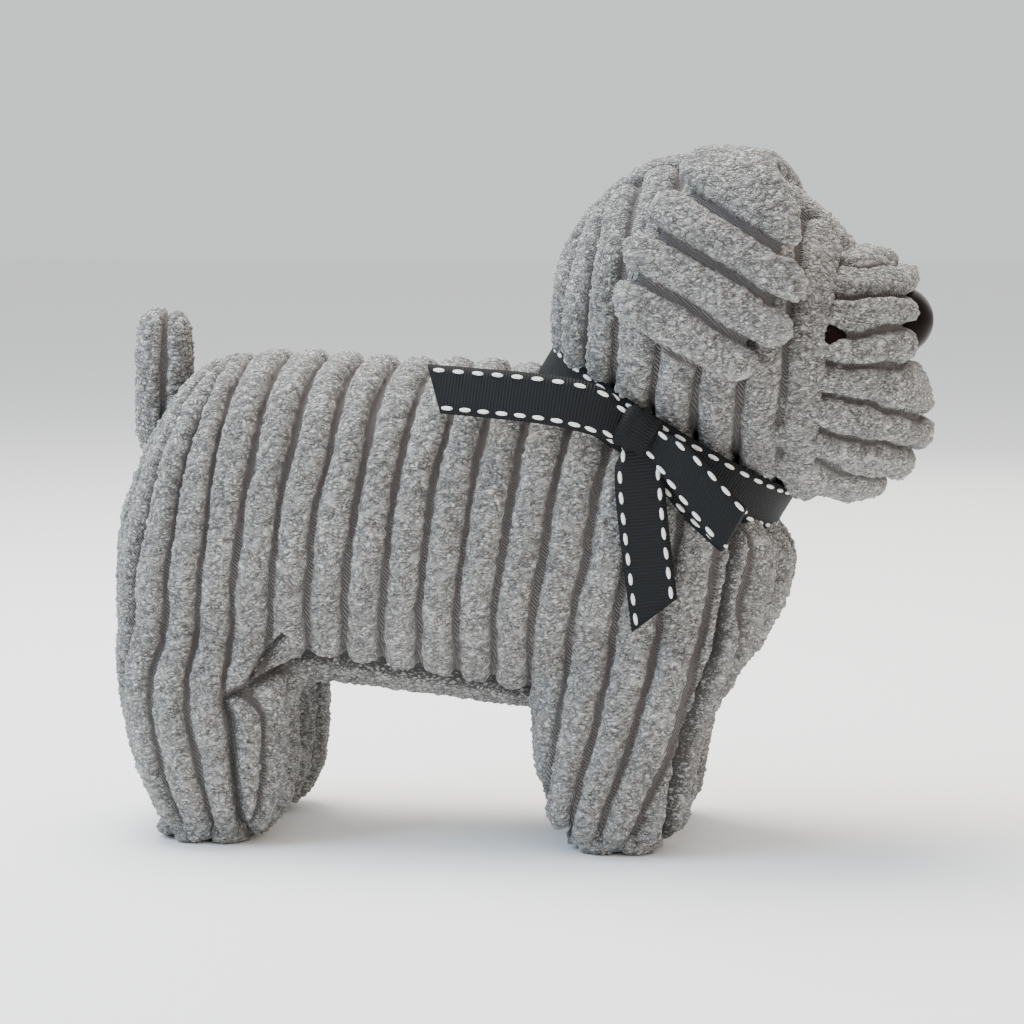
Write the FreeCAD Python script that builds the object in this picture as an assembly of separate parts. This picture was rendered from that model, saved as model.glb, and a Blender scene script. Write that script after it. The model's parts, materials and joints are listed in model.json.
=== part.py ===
"""A standing plush dog: sewn pile covers over polyester stuffing, plastic nose and eyes, and a
ribbon tied round the neck.

Millimetres, +Z up. The origin is on the floor under the middle of the dog, +X points from the
tail to the nose and +Y to the dog's left. The head turns on the slanted plane of the neck seam,
the ears lift, the tail wags, and the ribbon's loop and two ends swing at the knot. Soft pieces
are plain closed solids of the right size: covers are skins, and stuffing fills them.
"""
import FreeCAD
import Part
import math
import os

# Driving dimensions: the trunk.
back_height = 149.0
belly_height = 42.0
trunk_half_width = 43.0
rump_x = -127.5
cover_thickness = 2.0
panel_gap = 0.3
stuffing_gap = 0.3

# Legs: a centre on the floor, half sizes at the thickest level, and the sole under each.
front_leg_x = 33.0
rear_leg_x = -94.0
leg_spread = trunk_half_width - 18.0
front_leg_half_length = 25.0
rear_leg_half_length = 27.5
leg_half_width = trunk_half_width / 2
sole_thickness = 2.0
sole_share = 0.76
leg_top_z = belly_height + 42.0

# Neck: the seam plane leans forward, and the head turns about its normal.
neck_x = 50.0
neck_z = back_height - 15.0
neck_lean_deg = 31.0
neck_half_length = 42.5
neck_half_width = trunk_half_width - 4.5
neck_depth = 30.0
seam_gap = 1.5
chest_x = neck_x + neck_half_length - 6.5

# Head and muzzle.
head_x = 56.0
head_z = neck_z + 31.0
head_half_height = 47.0
head_half_width = neck_half_width + 8.0
head_back_x = 9.5
chin_height = neck_z - 27.0
muzzle_seam_x = 104.0
muzzle_tip_x = 119.5
beard_tip_x = 127.5
gusset_half_width = 13.0

# Nose and eyes: moulded domes, each on a stem held by a push-on washer.
nose_x = 117.0
nose_z = head_z - 3.0
nose_depth = 10.5
nose_half_width = 13.0
nose_half_height = 10.5
eye_x = 97.0
eye_z = head_z - 8.0
eye_radius = 5.5
eye_turn_deg = 62.0
stem_radius = 2.0
stem_length = 12.0
washer_radius = 6.5
washer_thickness = 1.2
plastic_gap = 0.2

# Ears: a double layer of pile that follows the side of the head.
ear_gap = 2.0
ear_layer = 3.4
ear_top_deg = 52.0
ear_bottom_deg = -18.0
ear_middle_x = 63.0
ear_half_length = 26.5

# Tail: a stuffed tube that stands on the slope of the rump.
tail_x = -114.0
tail_top_z = back_height + 14.0
tail_half_length = 9.5
tail_half_width = 7.5
tail_seat_x = -112.0
tail_seat_share = 0.865
tail_slope_deg = 33.0
tail_gap = 1.2

# Ribbon: one strip, tied once, with a loop and two free ends.
ribbon_width = 15.0
ribbon_thickness = 0.8
pinched_width = 7.0
pinch_length = 12.0
ribbon_gap = 0.4
knot_along = 13.0
knot_across = 11.0
knot_depth = 7.0
knot_back = 6.0
hanging_length = 50.0
back_length = 53.0
loop_length = 33.0
loop_opening = 1.6

# Worked out from the values above.
RIGHT = -1
LEFT = 1
SIDES = {"right": RIGHT, "left": LEFT}
lean = math.radians(neck_lean_deg)
NECK_AXIS = FreeCAD.Vector(math.sin(lean), 0, math.cos(lean))
NECK_FORWARD = FreeCAD.Vector(math.cos(lean), 0, -math.sin(lean))
NECK = FreeCAD.Vector(neck_x, 0, neck_z)
slope = math.radians(tail_slope_deg)
TAIL_AXIS = FreeCAD.Vector(-math.cos(slope), 0, math.sin(slope))
BIG = 900.0


def loop(centre, along, across, half_along, half_across, squareness=2.3):
    """A smooth closed curve between an ellipse and a rounded rectangle."""
    points = []
    for step in range(16):
        angle = 2 * math.pi * step / 16
        reach = (abs(math.cos(angle)) ** squareness + abs(math.sin(angle)) ** squareness) ** (-1 / squareness)
        points.append(
            centre
            + along * (half_along * reach * math.cos(angle))
            + across * (half_across * reach * math.sin(angle))
        )
    curve = Part.BSplineCurve()
    curve.interpolate(points, PeriodicFlag=True)
    return Part.Wire([curve.toShape()])


def above(point, normal, size=BIG):
    """A large block that fills one side of a plane."""
    block = Part.makeBox(size, size, size, FreeCAD.Vector(-size / 2, -size / 2, 0))
    block.Placement = FreeCAD.Placement(point, FreeCAD.Rotation(FreeCAD.Vector(0, 0, 1), normal))
    return block


def mirrored(shape):
    """The same piece on the dog's other side."""
    return shape.mirror(FreeCAD.Vector(0, 0, 0), FreeCAD.Vector(0, 1, 0))


def single(shape):
    """The one solid that a cut or a fuse leaves."""
    solids = sorted(shape.Solids, key=lambda solid: solid.Volume)
    return solids[-1]


# The trunk.


def trunk(inset):
    """The body without legs or neck, shrunk by inset on every side."""
    y_axis = FreeCAD.Vector(0, 1, 0)
    low = belly_height
    high = back_height
    rise = high - low
    # The stuffing stops short of the cover's rim round the neck.
    slack = 6 * max(0, inset - cover_thickness)
    shoulder = NECK - NECK_AXIS * (ribbon_width + 1.6 + inset + slack)
    front = shoulder + NECK_FORWARD * (neck_half_length + 6 - slack / 2)
    rear = shoulder - NECK_FORWARD * (neck_half_length + 2 - slack / 2)
    # Each station is the top and bottom of one oval section and its share of the full width.
    stations = [
        (rump_x + inset, low + 0.44 * rise, rump_x + inset, low + 0.18 * rise, 0.30),
        (rump_x + 4, low + 0.60 * rise, rump_x + 4, low + 0.04 * rise, 0.58),
        (rump_x + 12, low + 0.81 * rise, rump_x + 12, low - 0.01 * rise, 0.80),
        (rump_x + 24, low + 0.96 * rise, rump_x + 24, low, 0.94),
        (rump_x + 40, high, rump_x + 40, low, 0.99),
        (rump_x + 68, high, rump_x + 68, low, 1.0),
        (rump_x + 96, high, rump_x + 98, low, 1.0),
        (rump_x + 112, high, chest_x - 76, low, 1.0),
        (rump_x + 121, high - 0.5, chest_x - 46, low + 0.5, 1.0),
        (rear.x - 2.0, high - 1.8, chest_x - 25, low + 5, 0.99),
        (rear.x - 0.8, high - 3.0, chest_x - 11, low + 19, 0.98),
        (rear.x - 0.3, high - 4.2, chest_x - 3, low + 35, 0.97),
        (rear.x, rear.z, front.x, front.z, 0.96),
    ]
    wires = []
    for top_x, top_z, bottom_x, bottom_z, width in stations:
        top = FreeCAD.Vector(top_x, 0, top_z)
        bottom = FreeCAD.Vector(bottom_x, 0, bottom_z)
        up = (top - bottom).normalize()
        half = (top - bottom).Length / 2 - inset
        wires.append(loop((top + bottom) * 0.5, up, y_axis, half, width * trunk_half_width - inset))
    return Part.makeLoft(wires, True, False)


def neck(inset):
    """The short oval neck inside the ribbon, up to the seam plane."""
    y_axis = FreeCAD.Vector(0, 1, 0)
    start = NECK - NECK_AXIS * neck_depth
    base = loop(start, NECK_FORWARD, y_axis, neck_half_length - inset, neck_half_width - inset)
    return Part.Face(base).extrude(NECK_AXIS * (neck_depth - seam_gap / 2))


def leg(x, side, half_length, inset):
    """A tapered leg into the trunk, from the top of its sole or, with inset, from lower."""
    x_axis = FreeCAD.Vector(1, 0, 0)
    y_axis = FreeCAD.Vector(0, 1, 0)
    levels = [
        (sole_thickness - inset / 2, sole_share, 0),
        (sole_thickness + 9, 0.95, 0),
        (sole_thickness + 26, 1.0, 0),
        (leg_top_z - 24, 1.02, 1.5),
        (leg_top_z, 0.86, 7.0),
    ]
    wires = []
    for z, share, lean_in in levels:
        centre = FreeCAD.Vector(x, side * (leg_spread - lean_in), z)
        wires.append(
            loop(centre, x_axis, y_axis, half_length * share - inset, leg_half_width * share - inset)
        )
    return Part.makeLoft(wires, True, False)


def leg_places():
    """Each leg's name with its place, side and half length."""
    places = []
    for side_name, side in SIDES.items():
        places.append(("front_" + side_name, front_leg_x, side, front_leg_half_length))
        places.append(("rear_" + side_name, rear_leg_x, side, rear_leg_half_length))
    return places


def whole_body(inset):
    """Trunk, neck and legs as one shape."""
    shape = trunk(inset).fuse(neck(inset))
    for name, x, side, half_length in leg_places():
        shape = shape.fuse(leg(x, side, half_length, inset))
    return single(shape)


def body_pieces():
    """Side panels, underbody, soles and stuffing."""
    cover = whole_body(0).cut(whole_body(cover_thickness))
    under_low = FreeCAD.Vector(rump_x + 14, -leg_spread, sole_thickness)
    length = chest_x - 18 - under_low.x
    depth = belly_height + 14 - sole_thickness
    zone = Part.makeBox(length, 2 * leg_spread, depth, under_low)
    room = Part.makeBox(
        length + 2 * panel_gap,
        2 * (leg_spread + panel_gap),
        depth + panel_gap,
        under_low - FreeCAD.Vector(panel_gap, panel_gap, 0),
    )
    pieces = {"underbody": single(cover.common(zone))}
    sides = cover.cut(room)
    half = above(FreeCAD.Vector(0, LEFT * panel_gap / 2, 0), FreeCAD.Vector(0, LEFT, 0))
    pieces["side_panel_left"] = single(sides.common(half))
    pieces["side_panel_right"] = mirrored(pieces["side_panel_left"])
    core = cover_thickness + stuffing_gap
    pieces["trunk_stuffing"] = single(trunk(core).fuse(neck(core)))
    over_sole = above(FreeCAD.Vector(0, 0, sole_thickness + stuffing_gap), FreeCAD.Vector(0, 0, 1))
    for name, x, side, half_length in leg_places():
        filling = leg(x, side, half_length, core).common(over_sole)
        pieces["leg_stuffing_" + name] = single(filling.cut(trunk(cover_thickness)))
        centre = FreeCAD.Vector(x, side * leg_spread, 0)
        outline = loop(
            centre,
            FreeCAD.Vector(1, 0, 0),
            FreeCAD.Vector(0, 1, 0),
            half_length * sole_share,
            leg_half_width * sole_share,
        )
        pieces["sole_" + name] = Part.Face(outline).extrude(FreeCAD.Vector(0, 0, sole_thickness))
    return pieces


# The head.


def head_loft(inset):
    """Head and muzzle in one, shrunk by inset and not yet cut at the neck."""
    y_axis = FreeCAD.Vector(0, 1, 0)
    z_axis = FreeCAD.Vector(0, 0, 1)
    top = head_z + head_half_height
    wide = head_half_width
    back = head_back_x
    seam = muzzle_seam_x
    tip = muzzle_tip_x
    beard = beard_tip_x
    brow = top - 28
    chin = chin_height
    # Each station is a place along the head, the top and bottom there, and the half width.
    stations = [
        (back + inset, head_z + 8, head_z - 14, 0.28 * wide),
        (back + 3, head_z + 17, head_z - 25, 0.50 * wide),
        (back + 8, head_z + 25, head_z - 35, 0.67 * wide),
        (back + 15, head_z + 32, head_z - 43, 0.80 * wide),
        (head_x - 22, top - 6, chin + 10, 0.91 * wide),
        (head_x - 8, top, chin + 8, 0.99 * wide),
        (head_x + 6, top, chin + 5, wide),
        (head_x + 20, top - 5, chin + 2, 0.98 * wide),
        (head_x + 34, top - 16, chin + 0.5, 0.93 * wide),
        (seam, brow, chin, 0.84 * wide),
        (seam + 8, brow, chin + 1, 0.76 * wide),
        (tip - 1, brow - 3, chin + 6, 0.67 * wide),
        (tip + 2, brow - 12, chin + 16, 0.53 * wide),
        (beard - 3.5, chin + 44, chin + 17, 0.44 * wide),
        (beard - inset, chin + 38, chin + 23, 0.28 * wide),
    ]
    wires = []
    for x, high, low, half_width in stations:
        centre = FreeCAD.Vector(x, 0, (high + low) / 2)
        wires.append(loop(centre, z_axis, y_axis, (high - low) / 2 - inset, half_width - inset, 2.2))
    return Part.makeLoft(wires, True, False)


def dome(centre, axis, radius, length, width):
    """A half ellipsoid that bulges along axis, with its flat back at centre."""
    ball = Part.makeSphere(1.0)
    matrix = FreeCAD.Matrix()
    matrix.scale(FreeCAD.Vector(width, radius, length))
    shape = ball.transformGeometry(matrix)
    shape = shape.common(above(FreeCAD.Vector(0, 0, 0), FreeCAD.Vector(0, 0, 1), 100.0))
    shape.Placement = FreeCAD.Placement(centre, FreeCAD.Rotation(FreeCAD.Vector(0, 0, 1), axis))
    return shape


def stem(centre, axis, radius, length):
    """A round stem that runs back from centre."""
    return Part.makeCylinder(radius, length, centre, axis * -1)


def washer(centre, axis):
    """The push-on washer on a stem."""
    place = centre - axis * (cover_thickness + 3.0)
    ring = Part.makeCylinder(washer_radius, washer_thickness, place, axis * -1)
    bore = Part.makeCylinder(stem_radius, washer_thickness, place, axis * -1)
    return ring.cut(bore)


def nose_dome(grow):
    """The nose's dome, or with grow the pocket that it sits in."""
    centre = FreeCAD.Vector(nose_x - grow, 0, nose_z)
    forward = FreeCAD.Vector(1, 0, 0)
    half_height = nose_half_height + grow
    half_width = nose_half_width + grow
    return dome(centre, forward, half_width, nose_depth + grow, half_height)


def eye_frame(side):
    """An eye's centre on the head and the way that it looks."""
    turn = math.radians(eye_turn_deg)
    axis = FreeCAD.Vector(math.cos(turn), side * math.sin(turn), 0)
    half = 0.86 * head_half_width
    return FreeCAD.Vector(eye_x, side * (half - 3.2), eye_z), axis


def head_pieces():
    """Head panels, muzzle cover, stuffing, nose and eyes."""
    forward = FreeCAD.Vector(1, 0, 0)
    fittings = [(FreeCAD.Vector(nose_x, 0, nose_z), forward, nose_dome(0), nose_dome(plastic_gap))]
    for side in SIDES.values():
        centre, axis = eye_frame(side)
        eye = dome(centre, axis, eye_radius, eye_radius, eye_radius)
        grown = eye_radius + plastic_gap
        pocket = dome(centre - axis * plastic_gap, axis, grown, grown, grown)
        fittings.append((centre, axis, eye, pocket))
    room = []
    made = []
    for centre, axis, face, pocket in fittings:
        shank = stem(centre, axis, stem_radius, stem_length)
        made.append((single(face.fuse(shank)), washer(centre, axis)))
        room.extend([pocket, shank, washer(centre, axis)])
    over_neck = above(NECK + NECK_AXIS * (seam_gap / 2), NECK_AXIS)
    inner = head_loft(cover_thickness)
    cover = head_loft(0).cut(inner).common(over_neck).cut(room)
    core = head_loft(cover_thickness + stuffing_gap).common(over_neck).cut(room)
    seam = above(FreeCAD.Vector(muzzle_seam_x, 0, 0), forward)
    behind = above(FreeCAD.Vector(muzzle_seam_x - panel_gap, 0, 0), forward * -1)
    rear_cover = cover.common(behind)
    middle = Part.makeBox(
        BIG,
        2 * gusset_half_width,
        BIG,
        FreeCAD.Vector(-BIG / 2, -gusset_half_width, neck_z),
    )
    pieces = {
        "muzzle_cover": single(cover.common(seam)),
        "muzzle_stuffing": single(core.common(seam)),
        "head_stuffing": single(core.common(above(FreeCAD.Vector(muzzle_seam_x, 0, 0), forward * -1))),
        "head_gusset": single(rear_cover.common(middle)),
    }
    edge = FreeCAD.Vector(0, LEFT * (gusset_half_width + panel_gap), 0)
    pieces["head_side_left"] = single(rear_cover.common(above(edge, FreeCAD.Vector(0, LEFT, 0))))
    pieces["head_side_right"] = mirrored(pieces["head_side_left"])
    names = [("nose", "nose_washer")]
    for side_name in SIDES:
        names.append(("eye_" + side_name, "eye_washer_" + side_name))
    for (face_name, washer_name), (face, ring) in zip(names, made):
        pieces[face_name] = face
        pieces[washer_name] = ring
    return pieces


# Ears and tail.


def ear_band(side, low_radius, high_radius):
    """A strip bent round the side of the head, between two radii."""
    outer = Part.makeCylinder(high_radius, BIG, FreeCAD.Vector(-BIG / 2, 0, head_z), FreeCAD.Vector(1, 0, 0))
    inner = Part.makeCylinder(low_radius, BIG, FreeCAD.Vector(-BIG / 2, 0, head_z), FreeCAD.Vector(1, 0, 0))
    top = math.radians(ear_top_deg)
    bottom = math.radians(ear_bottom_deg)
    hub = FreeCAD.Vector(0, 0, head_z)
    under_top = above(hub, FreeCAD.Vector(0, side * math.sin(top), -math.cos(top)))
    over_bottom = above(hub, FreeCAD.Vector(0, -side * math.sin(bottom), math.cos(bottom)))
    half = above(FreeCAD.Vector(0, 0, 0), FreeCAD.Vector(0, side, 0))
    return outer.cut(inner).common(under_top).common(over_bottom).common(half)


def ear_pieces():
    """Each ear's outer layer and lining."""
    outline = loop(
        FreeCAD.Vector(ear_middle_x, -BIG / 2, head_z + 11),
        FreeCAD.Vector(1, 0, 0),
        FreeCAD.Vector(0, 0, 1),
        ear_half_length,
        ear_half_length + 7,
        2.6,
    )
    prism = Part.Face(outline).extrude(FreeCAD.Vector(0, BIG, 0))
    start = max(head_half_height, head_half_width) + ear_gap
    pieces = {}
    for side_name, side in SIDES.items():
        lining = ear_band(side, start, start + ear_layer).common(prism)
        outer = ear_band(side, start + ear_layer, start + 2 * ear_layer).common(prism)
        pieces["ear_lining_" + side_name] = single(lining)
        pieces["ear_outer_" + side_name] = single(outer)
    return pieces


def tail_shape(inset):
    """The tail's tube, not yet cut at its seat on the rump."""
    x_axis = FreeCAD.Vector(1, 0, 0)
    y_axis = FreeCAD.Vector(0, 1, 0)
    levels = [
        (tail_top_z - 58, 3.0, 0.55),
        (tail_top_z - 42, 2.0, 0.80),
        (tail_top_z - 28, -0.5, 1.0),
        (tail_top_z - 12, 0.0, 0.98),
        (tail_top_z - 4, 0.3, 0.80),
        (tail_top_z - inset, 0.5, 0.45),
    ]
    wires = []
    for z, shift, share in levels:
        centre = FreeCAD.Vector(tail_x + shift, 0, z)
        wires.append(
            loop(centre, x_axis, y_axis, tail_half_length * share - inset, tail_half_width * share - inset)
        )
    return Part.makeLoft(wires, True, False)


def tail_pieces():
    """The tail's two cover halves and its stuffing."""
    seat = FreeCAD.Vector(tail_seat_x, 0, belly_height + tail_seat_share * (back_height - belly_height))
    over_seat = above(seat + TAIL_AXIS * tail_gap, TAIL_AXIS)
    core = tail_shape(cover_thickness + stuffing_gap).common(over_seat)
    cover = tail_shape(0).cut(tail_shape(cover_thickness)).common(over_seat)
    pieces = {"tail_stuffing": single(core)}
    half = above(FreeCAD.Vector(0, LEFT * panel_gap / 2, 0), FreeCAD.Vector(0, LEFT, 0))
    pieces["tail_cover_left"] = single(cover.common(half))
    pieces["tail_cover_right"] = mirrored(pieces["tail_cover_left"])
    return pieces


# The ribbon.


def ribbon_strip(start, along, across, length, thickness):
    """A flat strip that leaves the knot pinched and widens to the ribbon's full width."""
    outward = along.cross(across).normalize()
    if outward.y > 0:
        outward = outward * -1
    wide = along * pinch_length
    outline = [
        start - across * (pinched_width / 2),
        start + wide - across * (ribbon_width / 2),
        start + along * length - across * (ribbon_width / 2),
        start + along * length + across * (ribbon_width / 2),
        start + wide + across * (ribbon_width / 2),
        start + across * (pinched_width / 2),
    ]
    edges = Part.makePolygon(outline + outline[:1])
    return Part.Face(edges).extrude(outward * thickness)


def ribbon_pieces():
    """Collar, knot, loop and the two free ends."""
    y_axis = FreeCAD.Vector(0, 1, 0)
    base = NECK - NECK_AXIS * (ribbon_width + 0.5)
    inside = (neck_half_length + ribbon_gap, neck_half_width + ribbon_gap)
    outside = (inside[0] + ribbon_thickness, inside[1] + ribbon_thickness)
    ring = Part.Face(loop(base, NECK_FORWARD, y_axis, outside[0], outside[1]))
    hole = Part.Face(loop(base, NECK_FORWARD, y_axis, inside[0], inside[1]))
    collar = ring.cut(hole).extrude(NECK_AXIS * (ribbon_width - 0.5))
    front_y = -outside[1] - ribbon_gap
    knot_place = NECK - NECK_AXIS * (knot_across / 2 + 2.5) - NECK_FORWARD * knot_back
    knot_start = knot_place + FreeCAD.Vector(0, front_y, 0)
    outline = loop(knot_start, NECK_FORWARD, NECK_AXIS, knot_along / 2, knot_across / 2, 3.0)
    knot = Part.Face(outline).extrude(FreeCAD.Vector(0, -knot_depth, 0))
    middle = knot_start + FreeCAD.Vector(0, -knot_depth / 2, 0)
    clear = knot_along / 2 + 1.0
    pieces = {"ribbon_collar": single(collar), "ribbon_knot": knot}
    down = FreeCAD.Vector(0.19, -0.06, -0.98).normalize()
    down_across = FreeCAD.Vector(0.98, 0, 0.19).normalize()
    start = middle + down * clear + FreeCAD.Vector(-2.5, -1.0, 0)
    pieces["ribbon_hanging_end"] = ribbon_strip(start, down, down_across, hanging_length, ribbon_thickness)
    back = FreeCAD.Vector(-0.975, 0.05, 0.20).normalize()
    back_across = FreeCAD.Vector(0.25, 0.30, 0.93).normalize()
    back_across = (back_across - back * back_across.dot(back)).normalize()
    start = middle + back * clear + FreeCAD.Vector(0, -1.5, 0.0)
    pieces["ribbon_back_end"] = ribbon_strip(start, back, back_across, back_length, ribbon_thickness)
    forward = FreeCAD.Vector(0.76, -0.05, -0.65).normalize()
    loop_across = FreeCAD.Vector(0.65, 0, 0.76).normalize()
    start = middle + forward * (clear + 2.0)
    depth = 2 * ribbon_thickness + loop_opening
    folded = ribbon_strip(start, forward, loop_across, loop_length, depth)
    outward = forward.cross(loop_across).normalize()
    if outward.y > 0:
        outward = outward * -1
    inner_start = start + outward * ribbon_thickness
    hollow = ribbon_strip(inner_start, forward, loop_across, loop_length - ribbon_thickness, loop_opening)
    pieces["ribbon_loop"] = single(folded.cut(hollow))
    return pieces


def main():
    os.makedirs("parts", exist_ok=True)
    pieces = {}
    pieces.update(body_pieces())
    pieces.update(head_pieces())
    pieces.update(ear_pieces())
    pieces.update(tail_pieces())
    pieces.update(ribbon_pieces())
    for name, shape in sorted(pieces.items()):
        if not shape.isValid():
            raise ValueError(name + " isn't a valid solid")
        box = shape.BoundBox
        print(
            "%-26s %9.0f mm3  x %7.1f %7.1f  y %6.1f %6.1f  z %6.1f %6.1f"
            % (name, shape.Volume, box.XMin, box.XMax, box.YMin, box.YMax, box.ZMin, box.ZMax)
        )
        shape.exportStep("parts/" + name + ".step")


main()
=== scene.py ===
"""A standing plush dog: wide-rib pile cloth over stuffing, a moulded nose and eyes, and a stitched
ribbon tied round the neck, built round its CAD frame and laid out as a Blender add-on."""
import json
import math

import bpy
import numpy as np
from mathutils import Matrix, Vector


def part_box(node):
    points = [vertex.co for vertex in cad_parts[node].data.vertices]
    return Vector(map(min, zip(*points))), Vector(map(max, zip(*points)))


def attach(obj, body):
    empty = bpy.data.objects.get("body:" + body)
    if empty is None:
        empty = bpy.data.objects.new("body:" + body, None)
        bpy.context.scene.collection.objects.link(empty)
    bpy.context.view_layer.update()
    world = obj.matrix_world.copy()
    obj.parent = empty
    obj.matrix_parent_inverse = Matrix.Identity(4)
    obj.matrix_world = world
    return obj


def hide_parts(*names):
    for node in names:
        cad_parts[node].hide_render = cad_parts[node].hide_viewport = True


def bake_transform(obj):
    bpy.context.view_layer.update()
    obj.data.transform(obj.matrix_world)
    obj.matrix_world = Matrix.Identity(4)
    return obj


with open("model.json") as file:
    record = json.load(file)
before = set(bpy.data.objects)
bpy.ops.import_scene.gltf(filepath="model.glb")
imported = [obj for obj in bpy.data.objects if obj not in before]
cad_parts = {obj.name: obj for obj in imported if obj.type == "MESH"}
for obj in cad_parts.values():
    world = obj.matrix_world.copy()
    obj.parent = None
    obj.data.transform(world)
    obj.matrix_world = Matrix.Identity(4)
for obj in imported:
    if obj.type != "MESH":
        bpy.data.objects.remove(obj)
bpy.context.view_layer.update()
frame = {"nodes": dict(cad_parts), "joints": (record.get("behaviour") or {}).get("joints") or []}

bl_info = {
    "name": "Plush Dog",
    "version": (1, 0, 0),
    "blender": (4, 5, 0),
    "location": "3D View > Sidebar > Plush Dog",
    "description": "Builds a ribbed plush dog with a tied ribbon round its CAD frame",
    "category": "Object",
}

MM = 0.001
# A distance longer than the dog, in millimetres.
FAR_OFF = 1000.0

# Places taken from the frame, in millimetres.


def node_box(name):
    """A CAD node's middle and half sizes in millimetres."""
    low, high = (np.array(corner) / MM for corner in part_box(name))
    return (low + high) / 2, (high - low) / 2


def joint(name):
    """A joint's place in millimetres and its axis."""
    for entry in frame["joints"]:
        if entry["name"] == name:
            return np.array(entry["pos_m"]) / MM, np.array(entry["axis"], float)
    raise ValueError("no joint named " + name)


NECK, NECK_AXIS = joint("head_turn")
NECK_AXIS = NECK_AXIS / np.linalg.norm(NECK_AXIS)
NECK_FORWARD = np.array([NECK_AXIS[2], 0.0, -NECK_AXIS[0]])
ALONG = np.array([1.0, 0.0, 0.0])
ACROSS = np.array([0.0, 1.0, 0.0])
SIDES = {"right": -1, "left": 1}


# Settings that a user would change.


def length_property(name, description, value):
    """A length in millimetres, shown as a length."""
    return bpy.props.FloatProperty(name=name, description=description, default=value * MM, unit="LENGTH")


def colour_property(name, description, code):
    """A colour from an sRGB hex value."""
    value = linear(code)[:3]
    return bpy.props.FloatVectorProperty(
        name=name, description=description, default=value, size=3, min=0.0, max=1.0, subtype="COLOR"
    )


def linear(code):
    """sRGB hex to a linear colour with alpha."""
    channels = []
    for start in (1, 3, 5):
        value = int(code[start:start + 2], 16) / 255
        channels.append(value / 12.92 if value <= 0.04045 else ((value + 0.055) / 1.055) ** 2.4)
    return (*channels, 1.0)


class PileSettings(bpy.types.PropertyGroup):
    """Sizes and colours of the ribbed pile cloth."""

    rib_pitch: length_property("Rib pitch", "From one rib's middle to the next", 11.65)
    rib_width: length_property("Rib width", "Width of one rib of pile", 9.7)
    rib_rise: length_property("Rib rise", "Height of the pile above the ground cloth", 4.2)
    tuft_size: length_property("Tuft size", "Size of one curl of pile", 1.8)
    tuft_rise: length_property("Tuft rise", "Height of the curls on a rib", 0.9)
    light: colour_property("Tuft colour", "Tips of the pile", "#C6C5C1")
    # Painted crease shade: the pile's colour falls to this where its curls are low and along pinched seams,
    # standing in for the shade that falls there.
    painted_crease_shade: colour_property("Painted crease shade", "Between the tufts", "#504E4D")
    ground: colour_property("Ground colour", "Woven ground in the grooves", "#6E6866")


class RibbonSettings(bpy.types.PropertyGroup):
    """Sizes and colours of the ribbon."""

    width: length_property("Ribbon width", "Width of the strip", 15.0)
    thickness: length_property("Ribbon thickness", "Thickness of the strip", 0.7)
    stitch_pitch: length_property("Stitch pitch", "From one saddle stitch to the next", 5.7)
    stitch_length: length_property("Stitch length", "Length of one stitch", 3.7)
    stitch_width: length_property("Stitch width", "Width of one stitch", 1.3)
    stitch_inset: length_property("Stitch inset", "From the ribbon's edge to the stitches", 1.7)
    cloth: colour_property("Ribbon colour", "Grosgrain", "#0C0E10")
    thread: colour_property("Thread colour", "Saddle stitches", "#F6F5F0")


class FittingSettings(bpy.types.PropertyGroup):
    """Colours of the moulded nose, eyes and washers."""

    gloss: colour_property("Nose and eye colour", "Moulded nose and eyes", "#140C09")
    washer: colour_property("Washer colour", "Push-on washers inside", "#D8D8D2")


# Smooth noise, so that nothing is random from run to run.


def lattice_hash(cells, seed):
    """A fixed number for each cell of a lattice."""
    mixed = cells[:, 0] * 73856093 ^ cells[:, 1] * 19349663 ^ cells[:, 2] * 83492791 ^ seed * 40503
    mixed = ((mixed ^ (mixed >> 13)) * 1274126177) & 0xFFFFFFFF
    return (mixed ^ (mixed >> 16)) & 0x7FFF


def smooth_noise(points, size, seed):
    """Gradient noise from about -1 to 1, with features of the given size."""
    scaled = points / size
    base = np.floor(scaled).astype(np.int64)
    part = scaled - base
    ease = part * part * part * (part * (part * 6 - 15) + 10)
    total = np.zeros(len(points))
    for corner in range(8):
        step = np.array([corner & 1, (corner >> 1) & 1, (corner >> 2) & 1])
        mixed = lattice_hash(base + step, seed)
        weight = np.prod(np.where(step, ease, 1 - ease), axis=1)
        away = part - step
        slope = away[:, 0] * ((mixed & 31) / 15.5 - 1)
        slope += away[:, 1] * (((mixed >> 5) & 31) / 15.5 - 1)
        slope += away[:, 2] * (((mixed >> 10) & 31) / 15.5 - 1)
        total += weight * slope
    return total


def ease_between(value, start, end):
    """0 before start, 1 after end and smooth between."""
    share = np.clip((value - start) / (end - start), 0.0, 1.0)
    return share * share * (3 - 2 * share)


# Meshes in code: rings, lofts, points and attributes.


def oval(centre, up, across, half_up, half_across, squareness=2.3, count=40):
    """A ring between an ellipse and a rounded rectangle."""
    angle = np.arange(count) * 2 * math.pi / count
    cosine = np.cos(angle)
    sine = np.sin(angle)
    reach = (np.abs(cosine) ** squareness + np.abs(sine) ** squareness) ** (-1 / squareness)
    return (
        np.array(centre, float)
        + np.outer(reach * cosine * half_up, up)
        + np.outer(reach * sine * half_across, across)
    )


def loft_between(high, low, half_width, squareness=2.3, proud=0.0, count=40):
    """An oval from its top and bottom points in the middle plane."""
    high = np.array([high[0], 0.0, high[1]])
    low = np.array([low[0], 0.0, low[1]])
    span = np.linalg.norm(high - low)
    up = (high - low) / span
    return oval((high + low) / 2, up, ACROSS, span / 2 - proud, half_width - proud, squareness, count)


def clean_selection():
    """Nothing selected, in object mode."""
    if bpy.context.mode != "OBJECT":
        bpy.ops.object.mode_set(mode="OBJECT")
    bpy.ops.object.select_all(action="DESELECT")


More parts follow.
